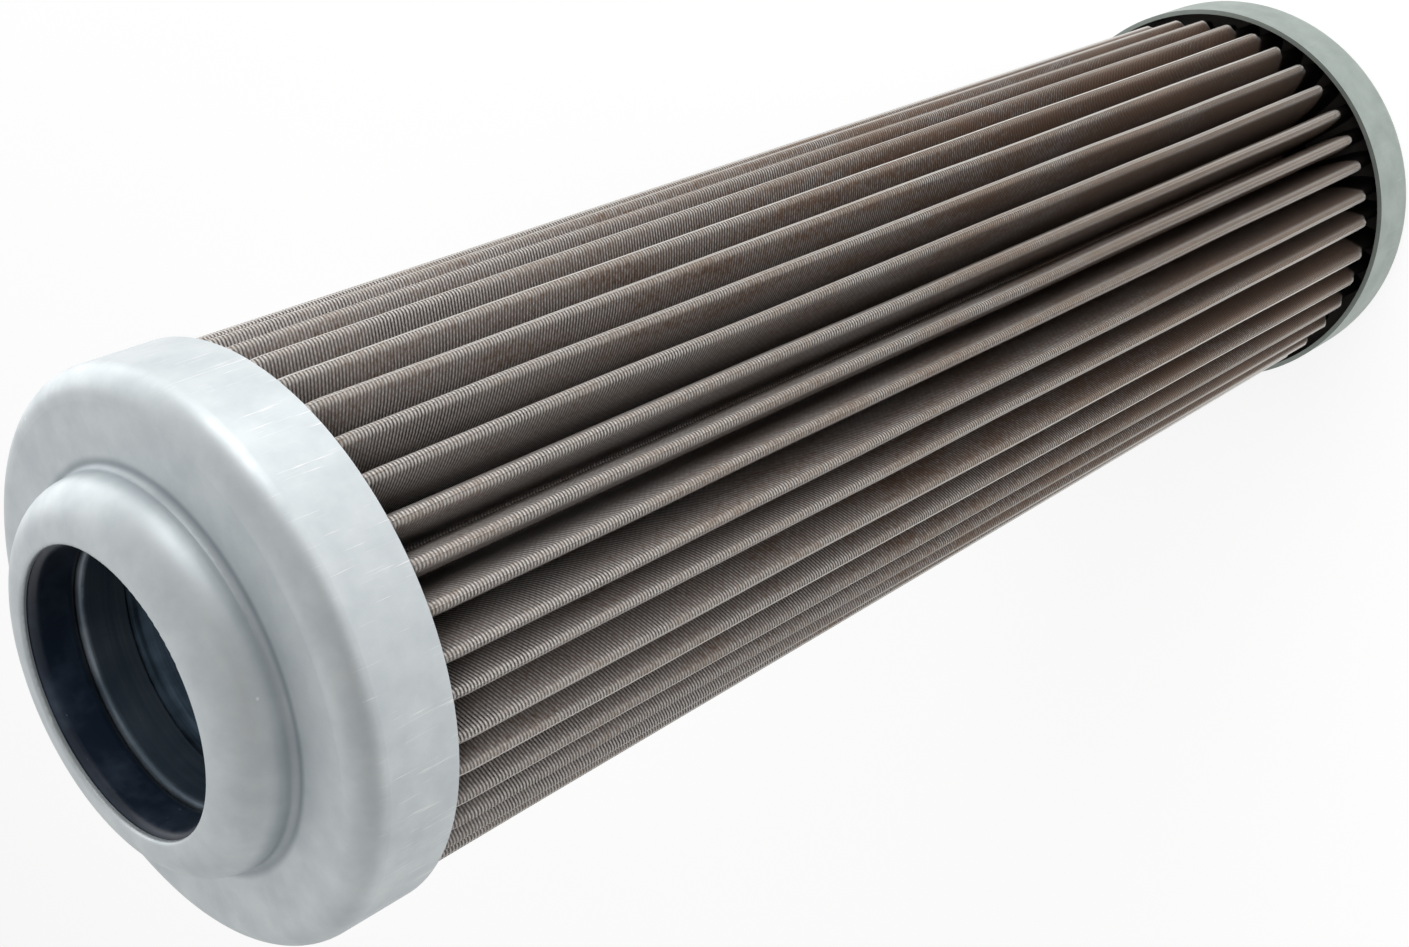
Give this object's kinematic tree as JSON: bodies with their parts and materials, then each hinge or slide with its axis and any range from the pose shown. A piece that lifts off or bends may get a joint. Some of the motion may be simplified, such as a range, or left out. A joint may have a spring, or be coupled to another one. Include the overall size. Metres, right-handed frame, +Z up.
{
  "type": "pleated hydraulic filter element",
  "caption": "Cylindrical hydraulic filter element: pleated woven wire mesh between a flat closed steel cap and a necked cap with a rubber seal.",
  "frame": {"origin": "middle of the closed end's flat outer face, which the element stands on", "axes": "+Z up along the element's axis, from the closed end to the neck"},
  "size_m": [0.07, 0.07, 0.2488],
  "materials": {
    "cap_finish": "matte pale blue-grey",
    "seal_rubber": "smooth black",
    "bright_steel": "drawn",
    "wire_cloth": "woven wire, warm grey",
    "core_steel": "dark",
    "potting_resin": "dark cast resin"
  },
  "bodies": {
    "root": {"open_end_cap": "cap_finish", "closed_end_cap": "cap_finish", "neck_seal": "seal_rubber", "seal_seat_ring": "bright_steel", "filter_mesh": "wire_cloth", "drainage_mesh": "wire_cloth", "core_tube": "core_steel", "seam_clip": "bright_steel", "open_end_adhesive": "potting_resin", "closed_end_adhesive": "potting_resin"}
  },
  "joints": []
}
